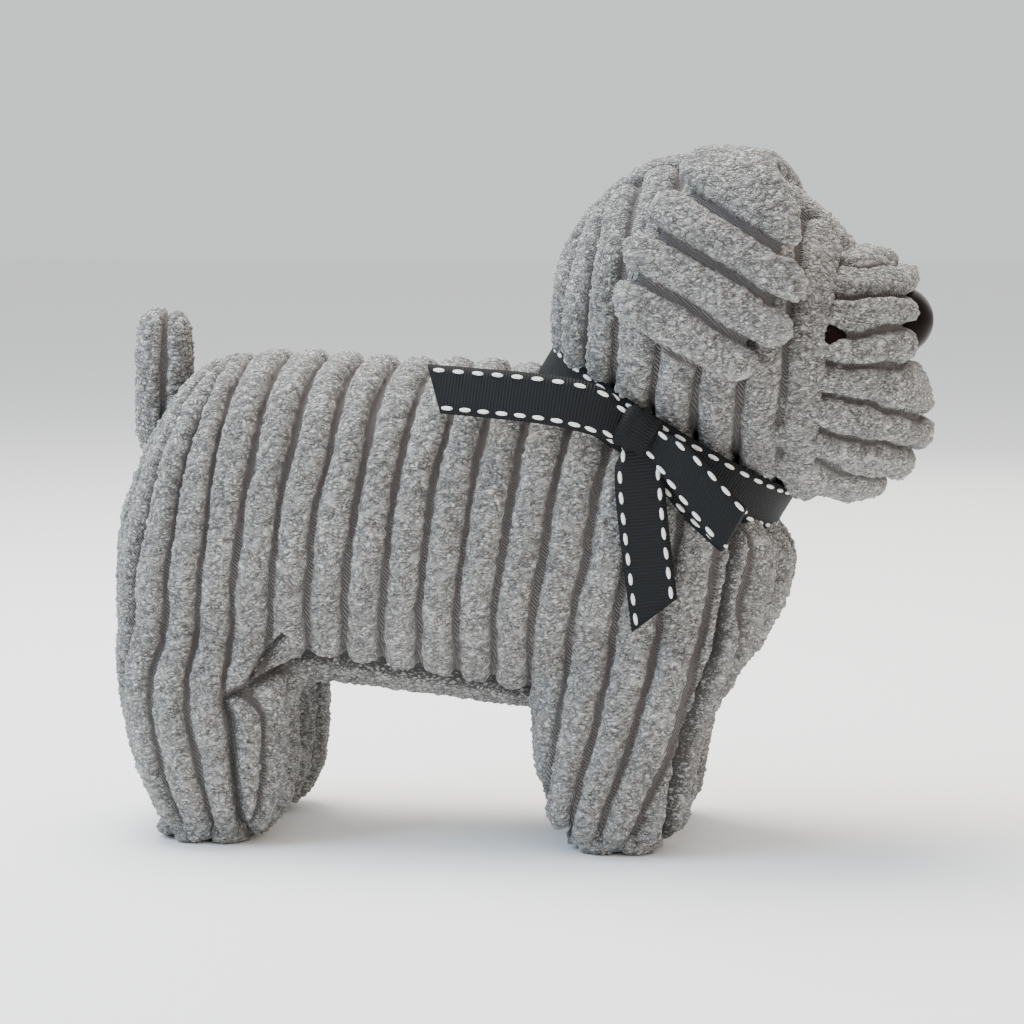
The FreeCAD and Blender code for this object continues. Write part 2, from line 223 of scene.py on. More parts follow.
def make_active(obj):
    """Only obj selected and active."""
    clean_selection()
    obj.select_set(True)
    bpy.context.view_layer.objects.active = obj


def object_from(name, points, faces):
    """A mesh object from points in millimetres."""
    mesh = bpy.data.meshes.new(name)
    mesh.from_pydata((np.asarray(points) * MM).tolist(), [], faces)
    mesh.update()
    obj = bpy.data.objects.new(name, mesh)
    bpy.context.scene.collection.objects.link(obj)
    return obj


def loft(name, rings):
    """A closed skin over rings that all have the same number of points."""
    count = len(rings[0])
    points = [point for ring in rings for point in ring]
    faces = []
    for level in range(len(rings) - 1):
        for index in range(count):
            after = (index + 1) % count
            near = level * count
            faces.append((near + index, near + after, near + count + after, near + count + index))
    for level, turn in ((0, -1), (len(rings) - 1, 1)):
        points.append(np.mean(rings[level], axis=0))
        middle = len(points) - 1
        for index in range(count):
            after = (index + 1) % count
            edge = (level * count + index, level * count + after)
            faces.append((edge[0], edge[1], middle) if turn > 0 else (edge[1], edge[0], middle))
    return object_from(name, points, faces)


def refine(rings, steps):
    """More rings between the given ones, on a smooth path through them."""
    rings = [np.asarray(ring) for ring in rings]
    padded = [2 * rings[0] - rings[1]] + rings + [2 * rings[-1] - rings[-2]]
    result = []
    for index in range(1, len(padded) - 2):
        before, start, end, after = padded[index - 1:index + 3]
        for step in range(steps):
            t = step / steps
            curve = (
                2 * start
                + (end - before) * t
                + (2 * before - 5 * start + 4 * end - after) * t ** 2
                + (3 * start - before - 3 * end + after) * t ** 3
            )
            result.append(curve / 2)
    result.append(rings[-1])
    return result


def apply_modifier(obj, kind, **settings):
    """Adds one modifier with its settings and applies it."""
    make_active(obj)
    modifier = obj.modifiers.new(kind.lower(), kind)
    for key, value in settings.items():
        setattr(modifier, key, value)
    bpy.ops.object.modifier_apply(modifier=modifier.name)


def face_outwards(obj):
    """Turns a closed mesh's faces outwards and shades them smooth."""
    make_active(obj)
    bpy.ops.object.mode_set(mode="EDIT")
    bpy.ops.mesh.select_all(action="SELECT")
    bpy.ops.mesh.normals_make_consistent(inside=False)
    bpy.ops.object.mode_set(mode="OBJECT")
    obj.data.shade_smooth()


def joined(name, parts):
    """Several objects as one mesh."""
    clean_selection()
    for part in parts:
        part.select_set(True)
    bpy.context.view_layer.objects.active = parts[0]
    bpy.ops.object.join()
    parts[0].name = name
    parts[0].data.name = name
    return parts[0]


def even_skin(obj, voxel, smoothing=6):
    """One even closed skin over everything in obj."""
    apply_modifier(obj, "REMESH", mode="VOXEL", voxel_size=voxel * MM, use_smooth_shade=True)
    apply_modifier(obj, "SMOOTH", factor=0.5, iterations=smoothing)


def read_points(obj):
    """Vertex positions in millimetres."""
    flat = np.empty(len(obj.data.vertices) * 3)
    obj.data.vertices.foreach_get("co", flat)
    return flat.reshape(-1, 3) / MM


def read_normals(obj):
    """Vertex normals."""
    flat = np.empty(len(obj.data.vertices) * 3)
    obj.data.vertices.foreach_get("normal", flat)
    return flat.reshape(-1, 3)


def write_points(obj, points):
    """Sets vertex positions from millimetres."""
    obj.data.vertices.foreach_set("co", (points * MM).ravel())
    obj.data.update()


def write_value(obj, name, values):
    """Stores one number for each vertex."""
    layer = obj.data.attributes.get(name) or obj.data.attributes.new(name, "FLOAT", "POINT")
    layer.data.foreach_set("value", np.asarray(values, dtype=np.float32))


def puff(obj, seams, limit, pressure=3.0):
    """Stuffing pressure on the cloth between its pinned seams, by cloth simulation."""
    before = read_points(obj)
    held = seams(before)
    group = obj.vertex_groups.new(name="seams")
    for index in np.flatnonzero(held > 0.02):
        group.add([int(index)], float(held[index]), "REPLACE")
    make_active(obj)
    modifier = obj.modifiers.new("cloth", "CLOTH")
    cloth = modifier.settings
    cloth.quality = 5
    cloth.mass = 0.25
    cloth.use_pressure = True
    cloth.uniform_pressure_force = pressure
    cloth.effector_weights.gravity = 0.0
    cloth.vertex_group_mass = "seams"
    cloth.tension_stiffness = 18
    cloth.compression_stiffness = 12
    cloth.bending_stiffness = 2.5
    modifier.collision_settings.use_collision = False
    scene = bpy.context.scene
    for number in range(1, 21):
        scene.frame_set(number)
    bpy.ops.object.modifier_apply(modifier=modifier.name)
    scene.frame_set(1)
    obj.vertex_groups.clear()
    moved = read_points(obj) - before
    distance = np.maximum(np.linalg.norm(moved, axis=1), 1e-9)
    share = limit * np.tanh(distance / limit) / distance
    write_points(obj, before + moved * share[:, None])


# The pile: ribs, tufts and seams pressed into a fine skin.


def along_dog(points):
    """Place across upright ribs on the dog's side."""
    return points[:, 0]


def no_seam(points):
    """Far from any seam."""
    return np.full(len(points), FAR_OFF)


def raise_pile(obj, across, seam, pitch=None, groove_at=0.0, rise=1.0, wander=1.0, floor=None, seed=1):
    """Raises ribs of curly pile on obj. across gives each point's place across the ribs, seam its
    distance from the nearest seam, groove_at one groove's place, wander how far the ribs stray
    and floor the lowest height allowed."""
    cloth = bpy.context.scene.dog_pile
    nominal = cloth.rib_pitch / MM
    pitch = pitch or nominal
    half_rib = cloth.rib_width / MM / 2 * pitch / nominal
    points = read_points(obj)
    normals = read_normals(obj)
    # The ribs stray slowly, and their edges are ragged.
    stray = 0.9 * smooth_noise(points, 26.0, seed + 8) + 0.55 * smooth_noise(points, 9.0, seed)
    ragged = 0.75 * smooth_noise(points, 2.4, seed + 1)
    phase = (across(points) + stray * wander * 1.4 + ragged - groove_at) / pitch - 0.5
    rib = np.round(phase)
    away = np.abs(phase - rib) * pitch
    width = half_rib + 0.9 * smooth_noise(points + rib[:, None] * 17.0, 20.0, seed + 2)
    # Each rib is round-topped with steep sides.
    crown = np.clip(1 - (away / width) ** 3.2, 0.0, 1.0) ** 0.55
    seam_gap = seam(points) + 0.6 * smooth_noise(points, 3.0, seed + 3)
    near = np.exp(-(np.maximum(seam_gap, 0.0) / 1.3) ** 2)
    pile = crown * (1 - near)
    size = cloth.tuft_size / MM
    curl_a = np.abs(smooth_noise(points * [0.8, 0.8, 1.35], size, seed + 4))
    curl_b = np.abs(smooth_noise(points, size * 1.7, seed + 5))
    tuft = np.clip(2.2 * curl_a + 0.9 * curl_b, 0.0, 1.3)
    clump = smooth_noise(points, 6.5, seed + 6)
    # Grooves sink and ribs rise about the finished skin, and a seam pinches the pile flat.
    total = cloth.rib_rise / MM * rise
    lift = -0.42 * total + total * pile * (1 + 0.16 * clump)
    lift += cloth.tuft_rise / MM * (tuft - 0.55) * np.clip(pile * 1.6, 0.0, 1.0)
    lift -= 1.9 * near
    points = points + normals * lift[:, None]
    if floor is not None:
        points[:, 2] = np.maximum(points[:, 2], floor)
    write_points(obj, points)
    # Painted crease shade along seams: the tuft value falls below zero there, which gives the pile its gap
    # colour, and a seam keeps the pile's colour rather than the ground's.
    write_value(obj, "pile", np.maximum(pile, near))
    write_value(obj, "tuft", tuft * (1 - near) - 0.9 * near)
    obj.data.shade_smooth()


def fine_skin(obj, levels):
    """Subdivides an even skin until tufts can be raised on it."""
    apply_modifier(obj, "SUBSURF", levels=levels, render_levels=levels)


def finish_pile(obj, body, replaced):
    """Material and body of one stuffed piece; the CAD parts it replaces are hidden. A piece with no body is
    left unattached.
    """
    obj.data.materials.clear()
    obj.data.materials.append(bpy.data.materials["wide_rib_pile_cloth"])
    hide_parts(*replaced)
    if body:
        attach(obj, body)


# Materials.


def add_node(tree, kind, settings=None, inputs=None, links=None):
    """Adds a node with its settings, input values and links from other nodes' outputs."""
    node = tree.nodes.new(kind)
    for key, value in (settings or {}).items():
        setattr(node, key, value)
    for key, value in (inputs or {}).items():
        node.inputs[key].default_value = value
    for key, source in (links or {}).items():
        tree.links.new(source, node.inputs[key])
    return node


def new_material(name):
    """A new material's node tree and its surface shader."""
    material = bpy.data.materials.new(name)
    material.use_nodes = True
    tree = material.node_tree
    tree.nodes.clear()
    shader = add_node(tree, "ShaderNodeBsdfPrincipled")
    add_node(tree, "ShaderNodeOutputMaterial", links={"Surface": shader.outputs[0]})
    return tree, shader


def opaque(colour):
    """A property's colour with alpha."""
    return (*colour, 1.0)


def toned(tree, colour, pattern, low, high, span=1.0):
    """A colour made darker and lighter by a pattern that goes from 0 to span."""
    tone = add_node(tree, "ShaderNodeMapRange", inputs={"From Max": span, "To Min": low, "To Max": high},
                    links={"Value": pattern}).outputs[0]
    return add_node(tree, "ShaderNodeVectorMath", {"operation": "SCALE"}, {0: colour},
                    {"Scale": tone}).outputs[0]


def emboss(tree, shader, pattern, strength, depth):
    """Raises a pattern on a surface, depth in millimetres."""
    bump = add_node(tree, "ShaderNodeBump", inputs={"Strength": strength, "Distance": depth * MM},
                    links={"Height": pattern})
    tree.links.new(bump.outputs[0], shader.inputs["Normal"])


def make_pile_cloth():
    """Polyester pile cloth, wide-rib, tumbled to curls: matt, soft edges lit by sheen, with painted shade in
    the gaps between the curls.
    """
    cloth = bpy.context.scene.dog_pile
    tree, shader = new_material("wide_rib_pile_cloth")
    place = add_node(tree, "ShaderNodeTexCoord").outputs["Object"]
    pile = add_node(tree, "ShaderNodeAttribute", {"attribute_name": "pile"}).outputs["Fac"]
    tuft = add_node(tree, "ShaderNodeAttribute", {"attribute_name": "tuft"}).outputs["Fac"]
    # Curls of fibre, about 1.5 mm long and 1 mm high. The colour is painted with shade in the creases
    # between them: low curls take the gap colour and high ones the tip colour.
    squeezed = add_node(tree, "ShaderNodeVectorMath", {"operation": "MULTIPLY"}, {1: (1.0, 1.0, 1.6)},
                        {0: place}).outputs[0]
    fibre = add_node(tree, "ShaderNodeTexNoise", inputs={"Scale": 640.0, "Detail": 2.0, "Roughness": 0.55},
                     links={"Vector": squeezed}).outputs["Fac"]
    fold = add_node(tree, "ShaderNodeMath", {"operation": "SUBTRACT"}, {1: 0.5}, {0: fibre}).outputs[0]
    fold = add_node(tree, "ShaderNodeMath", {"operation": "ABSOLUTE"}, links={0: fold}).outputs[0]
    curl = add_node(tree, "ShaderNodeMath", {"operation": "MULTIPLY", "use_clamp": True}, {1: 5.5},
                    {0: fold}).outputs[0]
    height = add_node(tree, "ShaderNodeMath", {"operation": "MULTIPLY"}, {1: 0.65}, {0: curl}).outputs[0]
    height = add_node(tree, "ShaderNodeMath", {"operation": "MULTIPLY_ADD"}, {1: 0.45},
                      {0: tuft, 2: height}).outputs[0]
    # Painted crease shade: the ramp goes from the gap colour on low curls to the tip colour on high ones.
    shade = add_node(tree, "ShaderNodeValToRGB", links={"Fac": height})
    ramp = shade.color_ramp
    ramp.elements[0].position = 0.14
    ramp.elements[0].color = opaque(cloth.painted_crease_shade)
    ramp.elements[1].position = 0.88
    ramp.elements[1].color = opaque(cloth.light)
    # Patches about 2 cm wide where the pile lies another way.
    patch = add_node(tree, "ShaderNodeTexNoise", inputs={"Scale": 55.0, "Detail": 2.0},
                     links={"Vector": place}).outputs["Fac"]
    patch = add_node(tree, "ShaderNodeMapRange", None,
                     {"From Min": 0.3, "From Max": 0.7, "To Min": 0.86, "To Max": 1.12},
                     {"Value": patch}).outputs[0]
    tufts = add_node(tree, "ShaderNodeVectorMath", {"operation": "SCALE"},
                     links={0: shade.outputs[0], "Scale": patch}).outputs[0]
    # The ground cloth in the grooves is a twill of half-millimetre lines.
    weave = add_node(tree, "ShaderNodeTexWave", {"bands_direction": "DIAGONAL"},
                     {"Scale": 560.0, "Distortion": 0.8, "Detail": 1.0}, {"Vector": place}).outputs["Fac"]
    ground = toned(tree, cloth.ground, weave, 0.80, 1.12)
    cover = add_node(tree, "ShaderNodeMapRange", {"interpolation_type": "SMOOTHSTEP"},
                     {"From Min": 0.12, "From Max": 0.5}, {"Value": pile}).outputs[0]
    colour = add_node(tree, "ShaderNodeMix", {"data_type": "RGBA"},
                      links={"Factor": cover, "A": ground, "B": tufts})
    tree.links.new(colour.outputs["Result"], shader.inputs["Base Color"])
    relief = add_node(tree, "ShaderNodeMix", {"data_type": "FLOAT"},
                      links={"Factor": cover, "A": weave, "B": curl}).outputs["Result"]
    emboss(tree, shader, relief, 1.0, 0.8)
    shader.inputs["Roughness"].default_value = 0.95
    shader.inputs["Specular IOR Level"].default_value = 0.15
    shader.inputs["Sheen Weight"].default_value = 0.25
    shader.inputs["Sheen Roughness"].default_value = 0.5


def make_grosgrain():
    """Polyester grosgrain, woven with fine cross ribs: near black, with a low satin shine on each."""
    ribbon = bpy.context.scene.dog_ribbon
    tree, shader = new_material("black_grosgrain")
    place = add_node(tree, "ShaderNodeUVMap", {"uv_map": "ribbon"}).outputs[0]
    split = add_node(tree, "ShaderNodeSeparateXYZ", links={0: place})
    # The map is in metres along the strip: one cross rib is 1 mm.
    turns = add_node(tree, "ShaderNodeMath", {"operation": "MULTIPLY"}, {1: 2 * math.pi / (1.0 * MM)},
                     {0: split.outputs["Y"]}).outputs[0]
    rib = add_node(tree, "ShaderNodeMath", {"operation": "SINE"}, links={0: turns}).outputs[0]
    rib = add_node(tree, "ShaderNodeMapRange", inputs={"From Min": -1.0, "From Max": 1.0},
                   links={"Value": rib}).outputs[0]
    # Single yarns, 0.4 mm.
    body = add_node(tree, "ShaderNodeTexCoord").outputs["Object"]
    speck = add_node(tree, "ShaderNodeTexNoise", inputs={"Scale": 2600.0, "Detail": 2.0},
                     links={"Vector": body}).outputs["Fac"]
    mixed = add_node(tree, "ShaderNodeMath", {"operation": "MULTIPLY_ADD"}, {1: 0.35},
                     {0: speck, 2: rib}).outputs[0]
    tree.links.new(toned(tree, ribbon.cloth, mixed, 0.55, 1.7, 1.3), shader.inputs["Base Color"])
    emboss(tree, shader, mixed, 0.8, 0.3)
    shader.inputs["Roughness"].default_value = 0.7
    shader.inputs["Specular IOR Level"].default_value = 0.25


def make_thread():
    """Thick cotton saddle thread, twisted: off-white, matt, with the twist's slanting lines."""
    ribbon = bpy.context.scene.dog_ribbon
    tree, shader = new_material("cotton_saddle_thread")
    place = add_node(tree, "ShaderNodeTexCoord").outputs["Object"]
    # The twist's lines are just under a millimetre apart.
    twist = add_node(tree, "ShaderNodeTexWave", {"bands_direction": "DIAGONAL"},
                     {"Scale": 420.0, "Distortion": 1.0}, {"Vector": place}).outputs["Fac"]
    tree.links.new(toned(tree, ribbon.thread, twist, 0.82, 1.0), shader.inputs["Base Color"])
    emboss(tree, shader, twist, 0.5, 0.2)
    shader.inputs["Roughness"].default_value = 0.8


def make_moulded(name, colour, roughness, gloss):
    """Injection-moulded plastic: even colour, a gloss broken only by faint flow and dust."""
    tree, shader = new_material(name)
    place = add_node(tree, "ShaderNodeTexCoord").outputs["Object"]
    # Flow marks of about 3 mm.
    flow = add_node(tree, "ShaderNodeTexNoise", inputs={"Scale": 320.0, "Detail": 3.0},
                    links={"Vector": place}).outputs["Fac"]
    tree.links.new(toned(tree, colour, flow, 0.85, 1.2), shader.inputs["Base Color"])
    rough = add_node(tree, "ShaderNodeMapRange", inputs={"To Min": roughness, "To Max": roughness + 0.1},
                     links={"Value": flow}).outputs[0]
    tree.links.new(rough, shader.inputs["Roughness"])
    shader.inputs["Specular IOR Level"].default_value = gloss
    shader.inputs["IOR"].default_value = 1.25


def make_floor():
    """Matt pale studio card with a faint tooth."""
    tree, shader = new_material("pale_studio_card")
    place = add_node(tree, "ShaderNodeTexCoord").outputs["Object"]
    # Card fibres of about 1 mm.
    tooth = add_node(tree, "ShaderNodeTexNoise", inputs={"Scale": 900.0, "Detail": 2.0},
                     links={"Vector": place}).outputs["Fac"]
    tree.links.new(toned(tree, linear("#FAFAF8")[:3], tooth, 0.97, 1.03), shader.inputs["Base Color"])
    shader.inputs["Roughness"].default_value = 0.9


class DOG_OT_materials(bpy.types.Operator):
    """Makes the pile cloth, ribbon, thread and plastics"""

    bl_idname = "dog.materials"
    bl_label = "Materials"

    def execute(self, context):
        fittings = context.scene.dog_fittings
        make_pile_cloth()
        make_grosgrain()
        make_thread()
        make_moulded("gloss_moulded_plastic", fittings.gloss, 0.3, 0.12)
        make_moulded("washer_plastic", fittings.washer, 0.45, 0.25)
        make_floor()
        return {"FINISHED"}


# The body. The bare cover starts this far inside its finished size, to leave room for the pile.

PROUD = 2.3
LEG_SPREAD = 25.0


def trunk_rings():
    """The trunk and neck's ovals, from the rump to the neck seam."""
    stations = [
        ((-124.6, 97), (-124.6, 52), 17, 2.1),
        ((-122.5, 108), (-122.5, 41), 27, 2.2),
        ((-117, 121), (-117, 35), 35, 2.3),
        ((-109, 136), (-109, 34), 39.5, 2.4),
        ((-99, 147.5), (-99, 38), 42, 2.4),
        ((-84, 151.5), (-84, 44), 43.5, 2.4),
        ((-62, 151.5), (-62, 47), 44, 2.4),
        ((-38, 149.5), (-36, 44.5), 44, 2.4),
        ((-16, 149.5), (-8, 41.5), 44, 2.4),
        ((-4, 149), (18, 39.5), 44, 2.4),
        ((1, 148.5), (44, 40), 44, 2.35),
        ((3.5, 147.5), (62, 47), 43.5, 2.3),
        ((5, 146.5), (75, 59), 42.5, 2.3),
        ((5.5, 145.5), (84, 76), 41.5, 2.25),
        ((5.0, 144), (86.5, 90), 41, 2.2),
    ]
    rings = []
    for high, low, half_width, squareness in stations:
        rings.append(loft_between(high, low, half_width, squareness, PROUD))
    neck = [(-17, 43.5, 39.5), (-13, 41, 37.5), (-7, 40, 36.5), (-1.2, 39.5, 36)]
    for offset, half_length, half_width in neck:
        centre = NECK + NECK_AXIS * offset
        rings.append(oval(centre, -NECK_FORWARD, ACROSS, half_length - PROUD, half_width - PROUD, 2.2))
    return rings


def leg_rings(side, front):
    """One leg's ovals, from the sole up into the trunk: height, middle, half sizes and spread."""
    if front:
        levels = [
            (1.8, 33.5, 12.0, 10.5, 25),
            (5, 34, 18.5, 15.5, 25),
            (10, 33.8, 22.3, 18.5, 25),
            (15, 33, 23.8, 20.0, 25),
            (22, 32.5, 25.2, 21.5, 25),
            (34, 33.5, 26.5, 22.0, 24.5),
            (44, 35, 28.5, 22.0, 24),
            (56, 40, 31.0, 21.5, 22),
            (68, 45, 31.0, 19.0, 20),
            (84, 48, 29.0, 15.0, 18),
        ]
    else:
        levels = [
            (1.8, -91.5, 12.0, 10.5, 25),
            (5, -91.5, 17.5, 15.0, 25),
            (10, -91.5, 21.0, 18.5, 25),
            (16, -92, 24.0, 20.5, 25),
            (28, -93, 27.0, 22.5, 25),
            (44, -95, 28.5, 23.0, 24.5),
            (62, -95, 30.0, 21.0, 21),
            (80, -92, 27.0, 15.0, 18),
        ]
    rings = []
    for z, x, half_length, half_width, spread in levels:
        centre = (x, side * spread, z)
        rings.append(
            oval(centre, ALONG, ACROSS, half_length - PROUD, half_width - PROUD)
        )
    return rings


# The side panel's cut edge, in side view: down the front leg's front, up its back, along the
# belly, over the groin, down the rear leg and round behind the rump.
PANEL_EDGE = [
    (74, 130), (70, 104), (68.6, 92), (64, 64), (53, 29.4), (44, -20),
    (10, -20), (9, 10.5), (7, 34.7), (1, 48.7),
    (-25, 53), (-58, 58), (-66, 57), (-86, 47), (-83.5, 40), (-82.5, 14), (-82, -20),
    (-300, -20), (-300, 300), (74, 300),
]
GROIN_FOLD = [(-81, 48), (-75, 59), (-69.5, 65.5)]


def edge_distance(points, corners, closed):
    """Distance from a line of corners in side view, and whether each point is inside it."""
    x = points[:, 0]
    z = points[:, 2]
    nearest = np.full(len(points), FAR_OFF)
    inside = np.zeros(len(points), bool)
    ends = corners[1:] + corners[:1] if closed else corners[1:]
    for (x0, z0), (x1, z1) in zip(corners, ends):
        run = x1 - x0
        climb = z1 - z0
        share = np.clip(((x - x0) * run + (z - z0) * climb) / (run * run + climb * climb), 0, 1)
        nearest = np.minimum(nearest, np.hypot(x - x0 - share * run, z - z0 - share * climb))
        if climb:
            inside ^= ((z0 > z) != (z1 > z)) & (x < run * (z - z0) / climb + x0)
    return nearest, inside


def on_panel(points):
    """Signed distance from the side panels' edge, positive on a side panel."""
    nearest, inside = edge_distance(points, PANEL_EDGE, True)
    outline = np.where(inside, nearest, -nearest)
    height = 56.0 - 1.5 * np.clip(-100.0 - points[:, 0], 0.0, 30.0)
    inner = np.maximum(np.abs(points[:, 1]) - 24.0, points[:, 2] - height)
    return np.minimum(outline, inner)


def body_seams(points):
    """Distance from the nearest of the body's seams."""
    middle = np.abs(points[:, 1]) + FAR_OFF * ((points[:, 2] < 60.0) | (points[:, 0] > 60.0))
    fold = edge_distance(points, GROIN_FOLD, False)[0]
    fold = fold + 0.4 + FAR_OFF * (np.abs(points[:, 1]) < 20.0)
    return np.minimum.reduce([np.abs(on_panel(points)), middle, fold])


def body_ribs(points):
    """Each point's place across the ribs of the panel that it lies on."""
    x, y, z = points.T
    out = np.abs(y)
    turn = -88.0
    angle = np.arctan2((turn - x) / 37.0, np.maximum(out, 0.5) / 42.0)
    across = np.where(x < turn, turn - 40.0 * angle, x)
    fore = ease_between(x, -10.0, 45.0)
    rear = ease_between(-x, 55.0, 80.0)
    lean = 0.10 * (z - 66.0) + 0.0006 * np.maximum(z - 66.0, 0.0) ** 2
    lean += fore * (0.08 * np.minimum(z - 66.0, 40.0) - 0.0033 * np.maximum(61.0 - z, 0.0) ** 2)
    lean += rear * 0.24 * np.maximum(52.0 - z, 0.0)
    across = across - lean
    across = np.where(across > 12.0, 12.0 + (across - 12.0) * 0.9, across)
    # The underbody's ribs run along the belly and turn down the legs.
    leg_x = np.where(x > -30.0, 34.0, -94.0)
    round_leg = 26.0 * np.arctan2(out - LEG_SPREAD, np.abs(x - leg_x))
    level = ease_between(z, 38.0, 48.0)
    under = round_leg + (out - LEG_SPREAD - round_leg) * level
    under = under + np.where(x > 30.0, 5.5, 3.4)
    return np.where(on_panel(points) < 0, under, across)


class DOG_OT_body(bpy.types.Operator):
    """Builds the trunk, neck and legs as one stuffed cover"""

    bl_idname = "dog.body"
    bl_label = "Body"

    def execute(self, context):
        parts = [loft("trunk", refine(trunk_rings(), 3))]
        for side in SIDES.values():
            parts.append(loft("front_leg", refine(leg_rings(side, True), 3)))
            parts.append(loft("rear_leg", refine(leg_rings(side, False), 3)))
        body = joined("body_cover", parts)
        even_skin(body, 3.2, 10)

        def held(points):
            seam = np.exp(-(body_seams(points) / 4.0) ** 2)
            neck_end = ease_between((points - NECK) @ NECK_AXIS, -18.0, -12.0)
            foot = ease_between(-points[:, 2], -8.0, -4.0)
            return np.clip(np.maximum.reduce([seam, neck_end, foot]), 0.0, 1.0)

        puff(body, held, 2.5)
        fine_skin(body, 2)
        raise_pile(body, body_ribs, body_seams, groove_at=7.8, floor=0.9, seed=11)
        replaced = ["side_panel_right", "side_panel_left", "underbody", "trunk_stuffing"]
        replaced += [name for name in frame["nodes"] if name.startswith("leg_stuffing")]
        finish_pile(body, "body", replaced)
        return {"FINISHED"}


class DOG_OT_soles(bpy.types.Operator):
    """Builds the four paw soles"""

    bl_idname = "dog.soles"
    bl_label = "Paw soles"

    def execute(self, context):
        soles = sorted(name for name in frame["nodes"] if name.startswith("sole_"))
        for number, name in enumerate(soles):
            middle, half = node_box(name)
            rings = []
            for z, share in ((0.3, 0.62), (1.2, 0.72), (2.6, 0.79), (4.6, 0.78), (6.5, 0.66)):
                centre = (middle[0], middle[1], z)
                rings.append(oval(centre, ALONG, ACROSS, half[0] * share, half[1] * share))
            sole = loft(name + "_pad", refine(rings, 2))
            even_skin(sole, 1.6, 3)
            fine_skin(sole, 1)
            raise_pile(sole, along_dog, no_seam, groove_at=middle[0] + 1.0, pitch=13.0, rise=0.5, floor=0.05,
                       seed=31 + number)
            finish_pile(sole, "body", [name])
        return {"FINISHED"}


# The head. The gusset runs over the crown, above the eyes.

GUSSET_HALF = 14.0
GUSSET_LOW = 150.0


def neck_floor(x):
    """The height of the neck seam's plane over a place along the dog."""
    return NECK[2] - (x - NECK[0]) * NECK_AXIS[0] / NECK_AXIS[2] - 3.0


def head_rings():
    """The head's ovals from the nape to inside the muzzle."""
    stations = [
        (13.0, 174, 149, 13),
        (14.5, 182, 140, 22),
        (19.0, 191, 129, 30.5),
        (26.5, 200.5, 121, 37),
        (36, 208.5, 117, 42.5),
        (47, 212.5, 115, 46),
        (60, 212.5, 112, 47.5),
        (74, 209, 109, 47.5),
        (86, 201.5, 107, 46),
        (95, 194, 107, 43.5),
        (101, 187, 110, 38.5),
        (106, 176, 120, 26),
    ]
    rings = []
    for x, high, low, half_width in stations:
        ring = loft_between((x, high), (x, low), half_width, 2.2, PROUD, 48)
        floor = neck_floor(x) if x < 80 else neck_floor(x) - 4.0 * ease_between(x, 80.0, 88.0)
        ring[:, 2] = np.maximum(ring[:, 2], floor)
        rings.append(ring)
    return rings


def head_ribs(points):
    """Place across the head's upright ribs, which follow the nape round."""
    x, y, z = points.T
    turn = 32.0
    angle = np.arctan2((turn - x) / 21.0, np.maximum(np.abs(y), 0.5) / 40.0)
    across = np.where(x < turn, turn - 26.0 * angle, x)
    across = across - 0.10 * (z - GUSSET_LOW)
    on_top = (np.abs(y) < GUSSET_HALF) & (z > GUSSET_LOW)
    return np.where(on_top, y + 58.7, across)


def head_seams(points):
    """Distance from the two seams of the gusset, over the top of the head."""
    gusset = np.abs(np.abs(points[:, 1]) - GUSSET_HALF)
    return gusset + FAR_OFF * (points[:, 2] < GUSSET_LOW)


class DOG_OT_head(bpy.types.Operator):
    """Builds the stuffed head behind the muzzle"""

    bl_idname = "dog.head"
    bl_label = "Head"

    def execute(self, context):
        head = loft("head_cover", refine(head_rings(), 3))
        even_skin(head, 2.8, 3)

        def held(points):
            seam = np.exp(-(head_seams(points) / 4.0) ** 2)
            base = ease_between(-(points[:, 2] - neck_floor(points[:, 0])), -6.0, -1.0)
            front = ease_between(points[:, 0], 92.0, 100.0)
            return np.clip(np.maximum.reduce([seam, base, front]), 0.0, 1.0)

        puff(head, held, 2.0)
        fine_skin(head, 2)
        raise_pile(head, head_ribs, head_seams, pitch=13.0, groove_at=58.7, seed=51)
        finish_pile(head, "head", ["head_side_right", "head_side_left", "head_gusset", "head_stuffing"])
        return {"FINISHED"}


def muzzle_rings():
    """The muzzle's slanting ovals, from its seam to the beard."""
    stations = [
        ((90, 181), (76, 113), 40),
        ((99, 184), (85, 108), 42.5),
        ((107, 185), (96, 106), 42.5),
        ((114.5, 183.5), (107, 107), 40.5),
        ((119.5, 180), (115.5, 111.5), 36.5),
        ((120.5, 174), (121, 117), 31),
        ((118, 166), (125, 123.5), 24),
        ((119, 156), (127, 131), 15),
    ]
    rings = []
    for high, low, half_width in stations:
        ring = loft_between(high, low, half_width, 2.5, PROUD, 48)
        floor = neck_floor(ring[:, 0]) - 4.0
        ring[:, 2] = np.maximum(ring[:, 2], floor)
        rings.append(ring)
    return rings


def muzzle_ribs(points):
    """Place across the muzzle's level ribs, which slope down towards the beard's tip."""
    x = points[:, 0]
    z = points[:, 2]
    slope = 0.35 * ease_between(-z, -152.0, -136.0)
    level = z + slope * (x - 112.0)
    # Ribs crowd together over the bridge of the nose.
    heights = [91.0, 103.0, 115.0, 126.5, 137.0, 150.0, 161.0, 170.5, 179.0, 190.0]
    return np.interp(level, heights, np.arange(10) * 11.6)


